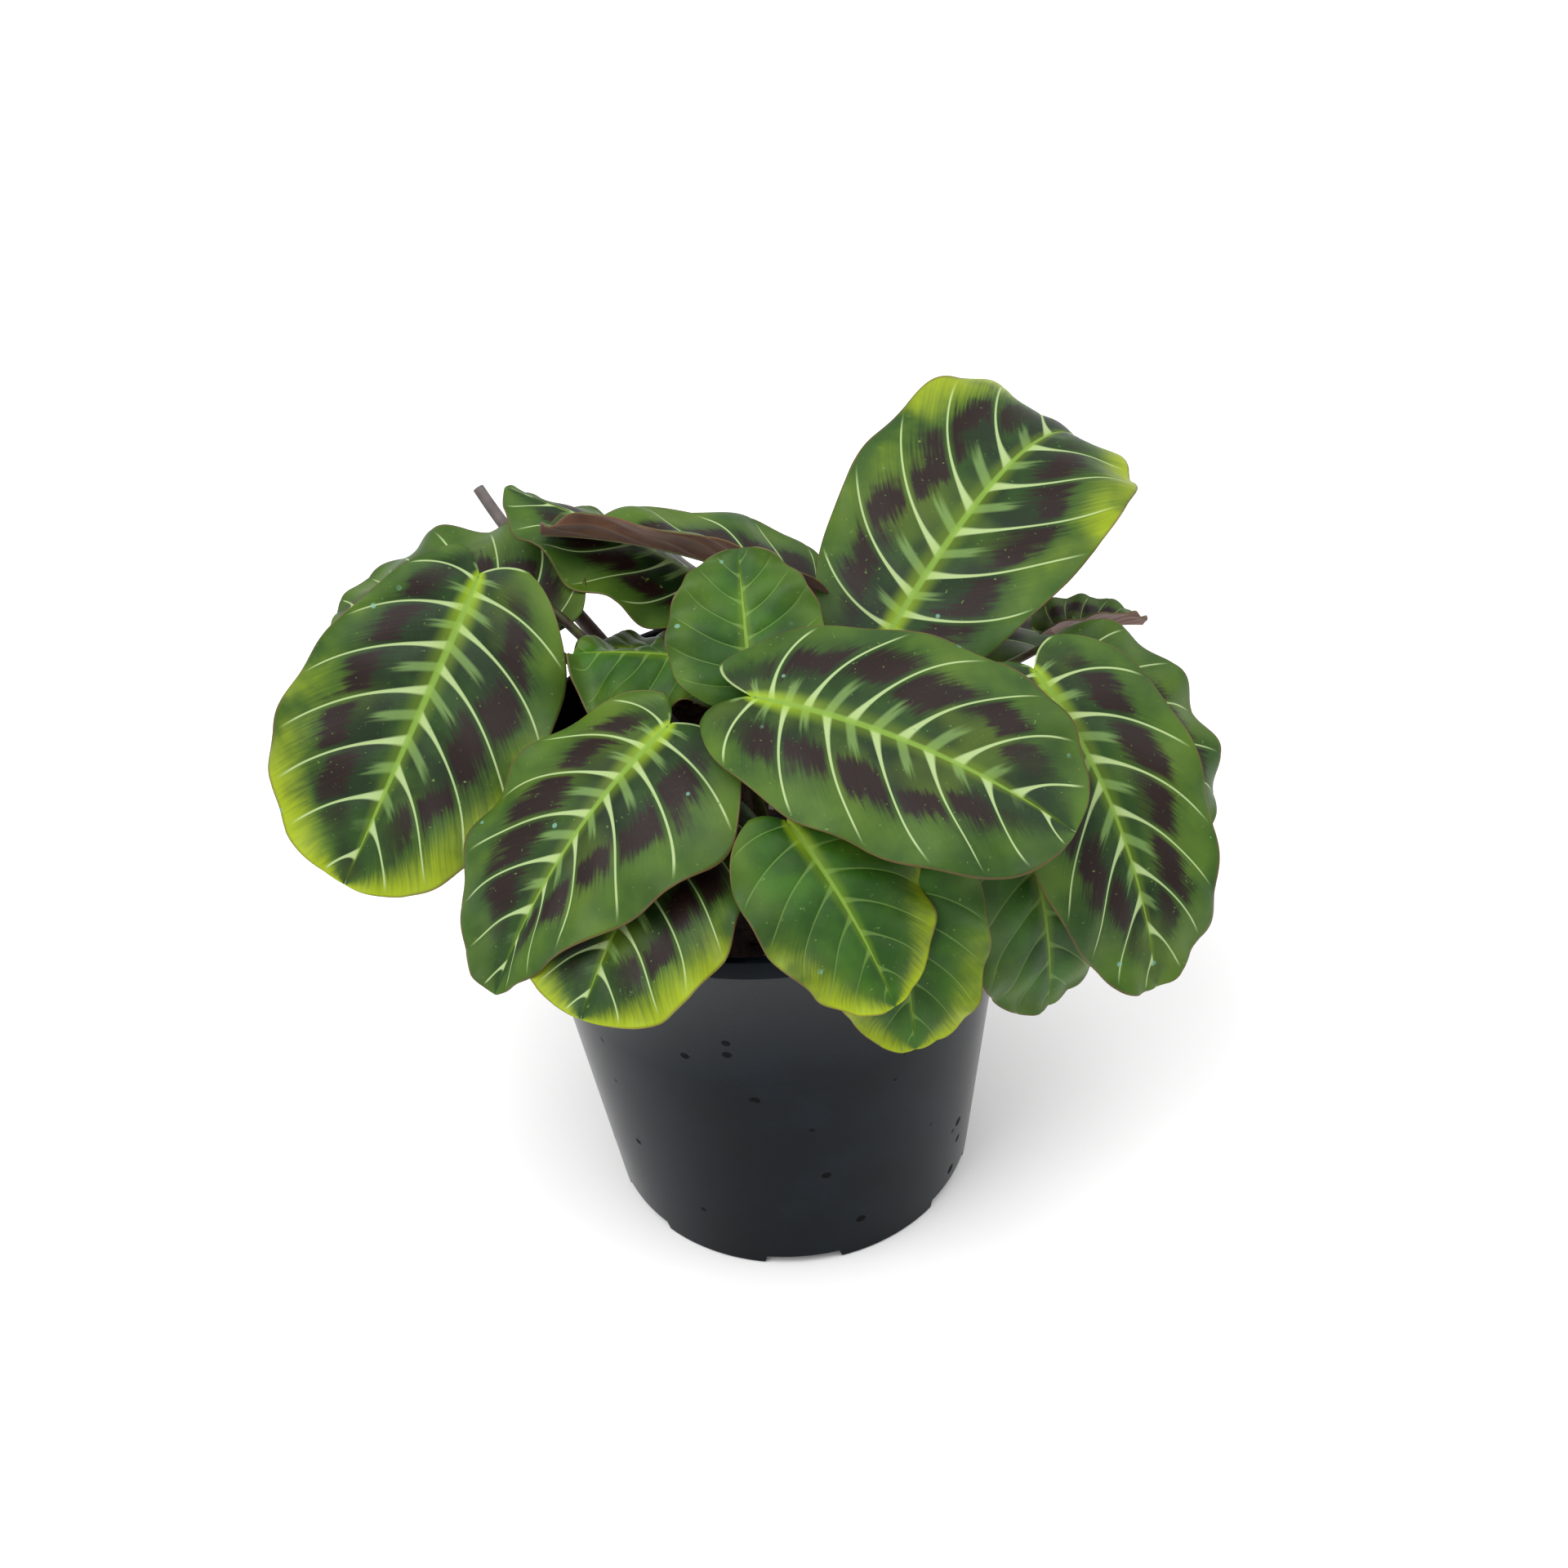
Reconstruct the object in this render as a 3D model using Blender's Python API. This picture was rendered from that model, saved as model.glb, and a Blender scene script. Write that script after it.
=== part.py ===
"""A prayer plant in its plastic nursery pot, at rest.

Lengths in the tables are millimetres and angles are degrees; the meshes are
built in metres. The origin is the middle of the pot's foot on the floor, +Z is
up and -Y is the front.
"""

from collections import namedtuple
from math import cos, pi, radians, sin

import bmesh
import bpy
import numpy as np
from mathutils import Vector

MM = 0.001

# Pot: a thin moulded cone with a rolled lip and a notched foot
POT_HEIGHT = 130.0
RIM_RADIUS = 65.0
FOOT_RADIUS = 46.5
LIP_HEIGHT = 6.0
LIP_STEP = 1.5
WALL = 1.4
FLOOR_RISE = 3.4
FLOOR_THICK = 1.6
SEGMENTS = 48
FOOT_NOTCHES = 6
NOTCH_WIDTH = 20.0
NOTCH_HEIGHT = 3.0
DRAIN_HOLES = 8
DRAIN_RADIUS = 3.6
DRAIN_CIRCLE = 31.0
PAD_RADIUS = 9.0

# Soil
SOIL_EDGE = 110.0
SOIL_TOP = 113.0
GAP = 0.35

# Blades and stalks
BLADE_THICK = 0.8
BLADE_ROWS = 8
BLADE_COLUMNS = 6
STALK_FOOT = 1.5
STALK_TIP = 0.95
STALK_SIDES = 6
STALK_RINGS = 9
TOP_VEIN = radians(15)

# fold, curl and skew take (left, right) pairs where the two halves differ.
Leaf = namedtuple(
    "Leaf",
    "name base heading pitch droop length width sweep roll twist fold curl"
    " lobe wave waves phase skew tipcurl blunt",
    defaults=(0, 0, 0, 8, -15, 5, 1.5, 3, 0, 0.15, 0, 0.85),
)

# LEAF TABLE
LEAVES = (
    Leaf("leaf_left", (-65, 29, 178), -129, -43, 10, 85, 68, sweep=-14, roll=22,
         fold=4, curl=-16, skew=(0.05, -0.3)),
    Leaf("leaf_left_rear", (-51, 27, 158), 141, 1, 40, 78, 56, roll=14, fold=5),
    Leaf("leaf_rolled", (17, 30, 158), 165, 30, 35, 72, 48, roll=-30,
         fold=(30, 24), curl=-10, lobe=1, skew=(0.1, 0.5)),
    Leaf("leaf_rear_left", (-3, 44, 151), 159, 32, 20, 65, 44, roll=-14,
         fold=(-14, -20), lobe=2, blunt=1.1),
    Leaf("leaf_curly", (-10, 5, 165), 166, 7, 20, 35, 38, roll=-4, fold=(-16, -28),
         curl=-20, wave=3, skew=-0.1),
    Leaf("leaf_curly_rear", (-14, 30, 144), 164, 10, 20, 32, 24, roll=-8, fold=-8),
    Leaf("leaf_lower_left", (-21, -17, 165), -140, -15, 45, 79, 58, fold=2,
         skew=(0.75, -0.1), blunt=1.0),
    Leaf("leaf_round", (-1, -12, 168), 91, 40, 10, 36, 38, lobe=3),
    Leaf("leaf_front", (-1, -21, 175), -22, 0, 35, 84, 60, roll=-16, fold=4,
         lobe=10, skew=(-0.25, 0.0)),
    Leaf("leaf_tall", (31, 10, 160), 50, 27, 20, 97, 64, roll=-12, skew=-0.08,
         tipcurl=75, blunt=0.75),
    Leaf("leaf_right", (67, -8, 165), -57, -24, 60, 88, 51, sweep=-10),
    Leaf("leaf_far_right", (73, 7, 150), -28, -30, 40, 63, 56),
    Leaf("leaf_far_right_rear", (76, 32, 141), 14, 0, 20, 24, 24, fold=(10, 60)),
    Leaf("leaf_rim_left", (-15, -22, 145), -125, 1, 50, 64, 57, skew=(-0.15, 0)),
    Leaf("leaf_rim_centre", (5, -49, 160), -54, -23, 40, 51, 45, fold=(8, 0)),
    Leaf("leaf_rim_right", (29, -50, 147), -85, -42, 40, 49, 40, curl=(-3, -15)),
    Leaf("leaf_low_right", (61, -35, 141), -63, -60, 40, 57, 45),
    Leaf("leaf_back_centre", (4, 50, 136), 84, -4, 62, 62, 46),
    Leaf("leaf_back_right", (38, 38, 132), 42, 6, 58, 64, 48),
)
# END OF LEAF TABLE

# Where each stalk leaves the soil, and how straight it stands there
STALK_FEET = {
    "leaf_left": (-16, 12), "leaf_left_rear": (-20, 18), "leaf_rolled": (7, 12),
    "leaf_rear_left": (-3, 22), "leaf_curly": (-7, 3), "leaf_curly_rear": (-10, 22),
    "leaf_lower_left": (-13, -6), "leaf_round": (-2, -6), "leaf_front": (1, -13),
    "leaf_tall": (15, 8), "leaf_right": (18, 0), "leaf_far_right": (22, 6),
    "leaf_far_right_rear": (21, 13), "leaf_rim_left": (-8, -13),
    "leaf_rim_centre": (7, -26), "leaf_rim_right": (13, -20),
    "leaf_low_right": (20, -14),
    "leaf_back_centre": (2, 31), "leaf_back_right": (15, 24),
}
CUT_STEM = ((-17, 26), (-67, 82, 163))


def clear_scene():
    for old in list(bpy.data.objects):
        bpy.data.objects.remove(old, do_unlink=True)


def material(name, colour, roughness):
    made = bpy.data.materials.new(name)
    made.use_nodes = True
    shader = made.node_tree.nodes["Principled BSDF"]
    shader.inputs["Base Color"].default_value = (*colour, 1)
    shader.inputs["Roughness"].default_value = roughness
    made.diffuse_color = (*colour, 1)
    return made


def add_object(name, points, faces, colour, roughness=0.5):
    """A mesh object from points in mm, its faces turned outwards."""
    mesh = bpy.data.meshes.new(name)
    mesh.from_pydata([tuple(float(c) * MM for c in p) for p in points], [], faces)
    shape = bmesh.new()
    shape.from_mesh(mesh)
    bmesh.ops.recalc_face_normals(shape, faces=shape.faces)
    shape.to_mesh(mesh)
    shape.free()
    made = bpy.data.objects.new(name, mesh)
    made.data.materials.append(material(name + "_material", colour, roughness))
    bpy.context.scene.collection.objects.link(made)
    return made


def revolved(name, profile, colour, roughness, on_axis=False):
    """The closed (radius, z) profile turned round Z; on_axis ends it in two poles."""
    points, faces = [], []
    ring = profile[1:-1] if on_axis else profile
    for i in range(SEGMENTS):
        a = 2 * pi * i / SEGMENTS
        points += [(r * cos(a), r * sin(a), z) for r, z in ring]
    n = len(ring)
    for i in range(SEGMENTS):
        here, there = i * n, (i + 1) % SEGMENTS * n
        for j in range(n - 1 if on_axis else n):
            k = (j + 1) % n
            faces.append((here + j, there + j, there + k, here + k))
    if on_axis:
        points += [(0, 0, profile[0][1]), (0, 0, profile[-1][1])]
        low, high = len(points) - 2, len(points) - 1
        for i in range(SEGMENTS):
            here, there = i * n, (i + 1) % SEGMENTS * n
            faces.append((low, there, here))
            faces.append((high, here + n - 1, there + n - 1))
    return add_object(name, points, faces, colour, roughness)


def cutter(name, points, faces):
    made = add_object(name, points, faces, (0.5, 0.5, 0.5))
    made.hide_render = True
    made.display_type = "WIRE"
    return made


def cut(target, tool):
    step = target.modifiers.new(tool.name, "BOOLEAN")
    step.operation = "DIFFERENCE"
    step.solver = "EXACT"
    step.object = tool


def prism(outline, low, high):
    n = len(outline)
    points = [(x, y, low) for x, y in outline] + [(x, y, high) for x, y in outline]
    faces = [tuple(range(n)), tuple(range(n, 2 * n))]
    faces += [(i, (i + 1) % n, n + (i + 1) % n, n + i) for i in range(n)]
    return points, faces


def notch_tool(turn):
    """A sloped-sided bar lying along a radius through the foot."""
    half, slope = NOTCH_WIDTH / 2, 2.0
    section = [(-half - slope, -1), (half + slope, -1), (half + slope, 0),
               (half, NOTCH_HEIGHT), (-half, NOTCH_HEIGHT), (-half - slope, 0)]
    inner, outer = FOOT_RADIUS - 8, FOOT_RADIUS + 6
    points = []
    for radius in (inner, outer):
        for across, z in section:
            points.append((radius * cos(turn) - across * sin(turn),
                           radius * sin(turn) + across * cos(turn), z))
    n = len(section)
    faces = [tuple(range(n)), tuple(range(n, 2 * n))]
    faces += [(i, (i + 1) % n, n + (i + 1) % n, n + i) for i in range(n)]
    return points, faces


def pot_radius(z):
    """Outer radius of the plain wall below the lip."""
    top = RIM_RADIUS - LIP_STEP
    return FOOT_RADIUS + (top - FOOT_RADIUS) * z / (POT_HEIGHT - LIP_HEIGHT)


def build_pot():
    lip = POT_HEIGHT - LIP_HEIGHT
    foot_wide = 3.2
    floor = FLOOR_RISE + FLOOR_THICK
    profile = [
        (0, 0),
        (PAD_RADIUS, 0),
        (PAD_RADIUS, FLOOR_RISE),
        (FOOT_RADIUS - foot_wide, FLOOR_RISE),
        (FOOT_RADIUS - foot_wide, 0),
        (FOOT_RADIUS, 0),
        (pot_radius(lip), lip),
        (RIM_RADIUS - 0.3, lip + 0.4),
        (RIM_RADIUS, POT_HEIGHT - 0.7),
        (RIM_RADIUS - 0.6, POT_HEIGHT),
        (RIM_RADIUS - 2.2, POT_HEIGHT),
        (RIM_RADIUS - 3.0, POT_HEIGHT - 0.8),
        (pot_radius(lip) - WALL, lip),
        (pot_radius(floor) - WALL, floor),
        (0, floor),
    ]
    pot = revolved("pot", profile, (0.045, 0.05, 0.055), 0.45, on_axis=True)
    for i in range(FOOT_NOTCHES):
        turn = -pi / 2 + 2 * pi * i / FOOT_NOTCHES
        cut(pot, cutter(f"notch_{i}", *notch_tool(turn)))
    for i in range(DRAIN_HOLES):
        turn = 2 * pi * (i + 0.5) / DRAIN_HOLES
        middle = DRAIN_CIRCLE * cos(turn), DRAIN_CIRCLE * sin(turn)
        outline = [(middle[0] + DRAIN_RADIUS * cos(2 * pi * j / 10),
                    middle[1] + DRAIN_RADIUS * sin(2 * pi * j / 10)) for j in range(10)]
        cut(pot, cutter(f"drain_{i}", *prism(outline, FLOOR_RISE - 1, floor + 1)))


def build_soil():
    floor = FLOOR_RISE + FLOOR_THICK + GAP
    inner = WALL + GAP
    profile = [
        (0, floor),
        (pot_radius(floor) - inner, floor),
        (pot_radius(SOIL_EDGE) - inner, SOIL_EDGE),
        (45, SOIL_EDGE + 1.6),
        (26, SOIL_TOP - 0.6),
        (12, SOIL_TOP),
        (0, SOIL_TOP),
    ]
    revolved("soil", profile, (0.035, 0.022, 0.014), 0.95, on_axis=True)


def pair(value):
    return value if isinstance(value, tuple) else (value, value)


def by_side(value, across):
    left, right = pair(value)
    return np.where(across < 0, left, right)


def blade_flat(leaf, row, across):
    """Flat (along, outwards) position, over the length, at vein line row 0..1.

    A vein line starts on the midrib, leaves it at about fifty degrees and bends
    towards the tip; across runs from the left margin at -1 to the right at 1.
    """
    lobe = leaf.lobe / leaf.length
    turn = TOP_VEIN + (pi - TOP_VEIN) * row**0.7
    edge_a = -lobe + (1 + lobe) * (cos(TOP_VEIN) - np.cos(turn)) / (1 + cos(TOP_VEIN))
    shape = np.maximum(np.sin(turn), 0) ** leaf.blunt
    edge_b = 0.5 * leaf.width / leaf.length * shape
    edge_b = edge_b * (1 + by_side(leaf.skew, across) * np.cos(turn))
    start = row**1.45
    back = (1 - row) ** 8
    mid_a = (start + 0.3 * (edge_a - start)) * (1 - back) - lobe * back
    mid_b = edge_b * (0.62 - 0.2 * back)
    t = np.abs(across)
    along = (1 - t) ** 2 * start + 2 * t * (1 - t) * mid_a + t * t * edge_a
    return along, 2 * t * (1 - t) * mid_b + t * t * edge_b


def midrib_turns(leaf, along):
    heading = np.radians(leaf.heading + leaf.sweep * along)
    pitch = np.radians(leaf.pitch - leaf.droop * along - leaf.tipcurl * along**4)
    ahead = np.stack([np.cos(pitch) * np.cos(heading),
                      np.cos(pitch) * np.sin(heading), np.sin(pitch)], -1)
    level = np.stack([np.sin(heading), -np.cos(heading), 0 * heading], -1)
    return ahead, level


def midrib_frame(leaf, along):
    """Position on the midrib curve, and its sideways and upward directions."""
    grid = np.linspace(0, 1, 61)
    ahead, _ = midrib_turns(leaf, grid)
    steps = (ahead[1:] + ahead[:-1]) / 2 * leaf.length / 60
    path = np.vstack([[0, 0, 0], np.cumsum(steps, 0)]) + np.array(leaf.base)
    held = np.clip(along, 0, 1)
    place = np.stack([np.interp(held, grid, path[:, i]) for i in range(3)], -1)
    ahead, level = midrib_turns(leaf, held)
    place = place + ahead * ((along - held) * leaf.length)[..., None]
    lift = np.cross(level, ahead)
    roll = np.radians(leaf.roll + leaf.twist * held)[..., None]
    side = np.cos(roll) * level + np.sin(roll) * lift
    return place, side, np.cos(roll) * lift - np.sin(roll) * level


def blade_surface(leaf, row, across):
    """Points of the blade's middle surface in mm."""
    along, out = blade_flat(leaf, row, across)
    place, side, up = midrib_frame(leaf, along)
    half = leaf.width / 2
    x = out * leaf.length / half
    fold = np.radians(by_side(leaf.fold, across))
    curl = np.radians(by_side(leaf.curl, across))
    curl = np.where(np.abs(curl) < 0.001, 0.001, curl)
    sideways = half * (np.sin(fold + curl * x) - np.sin(fold)) / curl * np.sign(across)
    upwards = half * (np.cos(fold) - np.cos(fold + curl * x)) / curl
    ripple = np.sin(2 * pi * leaf.waves * along + radians(leaf.phase)
                    + np.where(across < 0, 0, 1.3))
    upwards = upwards + leaf.wave * across**2 * ripple * np.clip(4 * x, 0, 1)
    return place + side * sideways[..., None] + up * upwards[..., None]


def blade_normals(grid):
    down = np.gradient(grid, axis=0)
    over = np.gradient(grid, axis=1)
    normal = np.cross(over, down)
    size = np.linalg.norm(normal, axis=-1, keepdims=True)
    normal = normal / np.maximum(size, 1e-9)
    normal[-1] = normal[-2, normal.shape[1] // 2]
    return normal


def build_leaf(leaf, colour):
    """A thin closed blade: top and bottom sheets that meet in a rim."""
    rows = np.linspace(0, 1, BLADE_ROWS + 1)
    columns = np.linspace(-1, 1, BLADE_COLUMNS + 1)
    row, across = np.meshgrid(rows, columns, indexing="ij")
    grid = blade_surface(leaf, row, across)
    offset = blade_normals(grid) * BLADE_THICK / 2
    width = BLADE_COLUMNS + 1
    count = BLADE_ROWS * width + 1
    points = []
    for sheet in (grid + offset, grid - offset):
        points += list(sheet[:-1].reshape(-1, 3)) + [sheet[-1, width // 2]]
    loop = list(range(width))
    loop += [i * width + width - 1 for i in range(1, BLADE_ROWS)]
    loop += [count - 1]
    loop += [i * width for i in range(BLADE_ROWS - 1, 0, -1)]
    faces = []
    for base in (0, count):
        for i in range(BLADE_ROWS - 1):
            for j in range(BLADE_COLUMNS):
                at = base + i * width + j
                faces.append((at, at + 1, at + width + 1, at + width))
        last = base + (BLADE_ROWS - 1) * width
        faces += [(last + j, last + j + 1, base + count - 1) for j in range(BLADE_COLUMNS)]
    for here, there in zip(loop, loop[1:] + loop[:1]):
        faces.append((here, there, count + there, count + here))
    add_object(leaf.name, points, faces, colour, 0.45)


def bezier(ends, t):
    a, b, c, d = (Vector(p) for p in ends)
    u = 1 - t
    return a * u**3 + b * (3 * u * u * t) + c * (3 * u * t * t) + d * t**3


def tube(name, ends, foot, tip, colour):
    """A tapered stalk along a cubic curve, with flat ends."""
    points, faces = [], []
    side = None
    for i in range(STALK_RINGS):
        t = i / (STALK_RINGS - 1)
        ahead = bezier(ends, min(t + 0.01, 1)) - bezier(ends, max(t - 0.01, 0))
        if i == 0:
            ahead = Vector((0, 0, 1))
        ahead.normalize()
        side = (side or Vector((1, 0, 0))) - ahead * ahead.dot(side or Vector((1, 0, 0)))
        side.normalize()
        other = ahead.cross(side)
        radius = foot + (tip - foot) * t
        for j in range(STALK_SIDES):
            a = 2 * pi * j / STALK_SIDES
            points.append(bezier(ends, t) + radius * (cos(a) * side + sin(a) * other))
    n = STALK_SIDES
    for i in range(STALK_RINGS - 1):
        for j in range(n):
            k = (j + 1) % n
            faces.append((i * n + j, i * n + k, (i + 1) * n + k, (i + 1) * n + j))
    faces += [tuple(range(n)), tuple(range((STALK_RINGS - 1) * n, STALK_RINGS * n))]
    add_object(name, points, faces, colour, 0.5)


def soil_height(x, y):
    r = (x * x + y * y) ** 0.5
    return float(np.interp(r, [0, 12, 26, 45], [SOIL_TOP, SOIL_TOP, SOIL_TOP - 0.6, SOIL_EDGE + 1.6]))


def build_stalk(leaf):
    """The stalk ends just under the blade's base, heading the way the blade does."""
    ahead, _ = midrib_turns(leaf, np.array(0.0))
    _, side, up = midrib_frame(leaf, np.array(0.0))
    drop = BLADE_THICK / 2 + GAP + STALK_TIP + 0.1
    end = Vector(leaf.base) - Vector(up) * drop - Vector(ahead) * 0.5
    x, y = STALK_FEET[leaf.name]
    start = Vector((x, y, soil_height(x, y) + GAP))
    reach = (end - start).length
    lean = Vector((end.x - start.x, end.y - start.y, 0)) * 0.12
    rise = start + Vector((0, 0, reach * 0.35)) + lean
    into = end - (Vector(ahead) * 0.6 + Vector((0, 0, 0.4))) * reach * 0.3
    name = leaf.name.replace("leaf", "petiole")
    tube(name, (start, rise, into, end), STALK_FOOT, STALK_TIP, (0.16, 0.1, 0.07))


def build_cut_stem():
    (x, y), end = CUT_STEM
    start = Vector((x, y, soil_height(x, y) + GAP))
    end = Vector(end)
    rise = start + Vector((-8, 10, 16))
    into = end - Vector((-15, 22, 17))
    tube("stem_cut", (start, rise, into, end), 2.3, 1.5, (0.12, 0.09, 0.08))


clear_scene()
build_pot()
build_soil()
for number, leaf in enumerate(LEAVES):
    shade = 0.9 + 0.2 * ((number * 7) % 5) / 4
    build_leaf(leaf, (0.09 * shade, 0.2 * shade, 0.035 * shade))
    build_stalk(leaf)
build_cut_stem()
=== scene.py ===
"""A prayer plant in its charcoal nursery pot: the looks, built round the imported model.

Lengths in the tables are millimetres and angles are degrees, as in the CAD;
meshes are made in metres. +Z is up and -Y is the front.
"""

import random
from collections import namedtuple
from math import cos, hypot, pi, radians, sin

import bpy
import numpy as np
from mathutils import Matrix, Vector


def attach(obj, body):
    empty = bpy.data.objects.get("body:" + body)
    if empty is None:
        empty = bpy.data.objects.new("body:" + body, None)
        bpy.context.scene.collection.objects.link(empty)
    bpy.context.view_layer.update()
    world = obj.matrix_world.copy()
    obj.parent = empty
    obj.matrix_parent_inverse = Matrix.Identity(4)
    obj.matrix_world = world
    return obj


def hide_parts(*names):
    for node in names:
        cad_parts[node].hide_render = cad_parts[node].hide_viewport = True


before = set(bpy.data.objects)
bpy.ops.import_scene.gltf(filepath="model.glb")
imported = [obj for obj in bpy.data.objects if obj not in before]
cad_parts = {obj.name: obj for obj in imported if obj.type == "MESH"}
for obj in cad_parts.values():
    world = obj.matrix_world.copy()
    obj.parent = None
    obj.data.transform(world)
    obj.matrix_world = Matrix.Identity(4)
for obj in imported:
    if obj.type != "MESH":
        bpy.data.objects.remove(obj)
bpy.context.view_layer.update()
bpy.ops.object.select_all(action="DESELECT")

MM = 0.001

# Pot
POT_HEIGHT = 130.0
RIM_RADIUS = 65.0
FOOT_RADIUS = 46.5
LIP_HEIGHT = 6.0
LIP_STEP = 1.5
WALL = 1.4
FLOOR_RISE = 3.4
FLOOR_TOP = 5.0
FOOT_RING = 3.2
PAD_RADIUS = 9.0
POT_SIDES = 160
NOTCHES = 6
NOTCH_WIDTH = 22.0
NOTCH_HEIGHT = 3.0
DRAIN_HOLES = 8
DRAIN_RADIUS = 3.6
DRAIN_CIRCLE = 31.0

# Soil: its dome, by radius and height, and how far out the crumbs lie
SOIL_DOME = ((0, 113.0), (12, 113.0), (26, 112.4), (45, 111.6), (58, 110.0))
SOIL_SPREAD = 57.0
GAP = 0.35

# Blades
VEINS = 7
BLADE_ROWS = 126
BLADE_COLUMNS = 64
BLADE_THICK = 0.36
TOP_VEIN = radians(15)
# How far the flesh swells between veins and the midrib is sunk, and how far the
# margin waves outwards, and up and down on a blade 80 mm long
PLEAT = 0.85
RIB_DEPTH = 0.5
SCALLOP = 0.3
RUFFLE = 1.0

# Widths of the patches and gaps in the finishes
BROAD_PATCH = 14.286
WASH_PATCH = 26.316
SPECK = 1.1111
WATER_SPOT_GAP = 11.111
UNDERSIDE_PATCH = 6.25
STALK_FLUSH = 4.5455
STEM_MOTTLE = 2.5
POT_GRAIN = 0.66667
POT_CLOUD = 22.222
POT_FLECK_GAP = 13.333
SOIL_CRUMB = 2.8571

# fold, curl and skew take (left, right) pairs where the two halves differ.
Leaf = namedtuple(
    "Leaf",
    "name base heading pitch droop length width sweep roll twist fold curl"
    " lobe wave waves phase skew tipcurl blunt",
    defaults=(0, 0, 0, 8, -15, 5, 1.5, 3, 0, 0.15, 0, 0.85),
)

LeafPattern = namedtuple(
    "LeafPattern", "out down middle near streak reach luck broad wash speck spots")

LEAVES = (
    Leaf("leaf_left", (-65, 29, 178), -129, -43, 10, 85, 66, sweep=-14, roll=22,
         fold=4, curl=-16, skew=(0.05, -0.3)),
    Leaf("leaf_left_rear", (-51, 27, 158), 141, 1, 40, 78, 56, roll=14, fold=5),
    Leaf("leaf_rolled", (17, 30, 158), 165, 30, 35, 72, 48, roll=-30,
         fold=(30, 24), curl=-10, lobe=1, skew=(0.1, 0.5)),
    Leaf("leaf_rear_left", (-3, 44, 151), 159, 32, 20, 65, 44, roll=-14,
         fold=(-14, -20), lobe=2, blunt=1.1),
    Leaf("leaf_curly", (-10, 5, 165), 166, 7, 20, 35, 38, roll=-4, fold=(-16, -28),
         curl=-20, wave=4.5, waves=2.2, skew=-0.1),
    Leaf("leaf_curly_rear", (-14, 30, 144), 164, 10, 20, 32, 24, roll=-8, fold=-8),
    Leaf("leaf_lower_left", (-21, -17, 165), -140, -15, 45, 79, 58, fold=2,
         skew=(0.75, -0.1), blunt=1.0),
    Leaf("leaf_round", (-1, -12, 168), 91, 40, 10, 36, 38, lobe=3),
    Leaf("leaf_front", (-1, -21, 175), -22, 0, 35, 84, 60, roll=-16, fold=4,
         lobe=10, skew=(-0.25, 0.0)),
    Leaf("leaf_tall", (31, 10, 160), 50, 27, 20, 97, 64, roll=-12, skew=-0.08,
         tipcurl=75, blunt=0.75),
    Leaf("leaf_right", (67, -8, 165), -57, -24, 60, 88, 51, sweep=-10),
    Leaf("leaf_far_right", (73, 7, 150), -28, -30, 40, 63, 56),
    Leaf("leaf_far_right_rear", (76, 32, 141), 14, 0, 20, 24, 24, fold=(10, 60),
         wave=0.4),
    Leaf("leaf_rim_left", (-15, -22, 145), -125, 1, 50, 64, 57, skew=(-0.15, 0)),
    Leaf("leaf_rim_centre", (5, -49, 160), -54, -23, 40, 51, 45, fold=(8, 0)),
    Leaf("leaf_rim_right", (29, -50, 147), -85, -42, 40, 49, 40, curl=(-3, -15)),
    Leaf("leaf_low_right", (61, -35, 141), -63, -60, 40, 57, 45),
    Leaf("leaf_back_centre", (4, 50, 136), 84, -4, 62, 62, 46),
    Leaf("leaf_back_right", (38, 38, 132), 42, 6, 58, 64, 48),
)

STALK_FEET = {
    "leaf_left": (-16, 12), "leaf_left_rear": (-20, 18), "leaf_rolled": (7, 12),
    "leaf_rear_left": (-3, 22), "leaf_curly": (-7, 3), "leaf_curly_rear": (-10, 22),
    "leaf_lower_left": (-13, -6), "leaf_round": (-2, -6), "leaf_front": (1, -13),
    "leaf_tall": (15, 8), "leaf_right": (18, 0), "leaf_far_right": (22, 6),
    "leaf_far_right_rear": (21, 13), "leaf_rim_left": (-8, -13),
    "leaf_rim_centre": (7, -26), "leaf_rim_right": (13, -20),
    "leaf_low_right": (20, -14),
    "leaf_back_centre": (2, 31), "leaf_back_right": (15, 24),
}
CUT_STEM = ((-17, 26), (-67, 82, 163))

PLAIN = ("leaf_curly", "leaf_curly_rear", "leaf_round", "leaf_rim_centre",
         "leaf_rim_right", "leaf_low_right")
LIME_EDGED = ("leaf_tall", "leaf_rim_left", "leaf_rim_centre", "leaf_rim_right",
              "leaf_left")


def linear(code):
    """A #rrggbb colour as linear red, green, blue and alpha."""
    parts = [int(code[i:i + 2], 16) / 255 for i in (1, 3, 5)]
    return tuple(c / 12.92 if c < 0.04045 else ((c + 0.055) / 1.055) ** 2.4
                 for c in parts) + (1,)


def add_node(tree, kind, inputs=(), **settings):
    """A node with its settings and links, given by its first open output.

    Inputs are numbers, hex colours or other nodes' outputs. A tuple fills the open
    sockets in their order, and a dict fills them by name.
    """
    made = tree.nodes.new("ShaderNode" + kind)
    for key, value in settings.items():
        setattr(made, key, value)
    if isinstance(inputs, tuple):
        open_sockets = [i for i, socket in enumerate(made.inputs) if socket.enabled]
        inputs = dict(zip(open_sockets, inputs))
    for key, value in inputs.items():
        if isinstance(value, bpy.types.NodeSocket):
            tree.links.new(value, made.inputs[key])
        else:
            plain = linear(value) if isinstance(value, str) else value
            made.inputs[key].default_value = plain
    return next(output for output in made.outputs if output.enabled)


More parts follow.
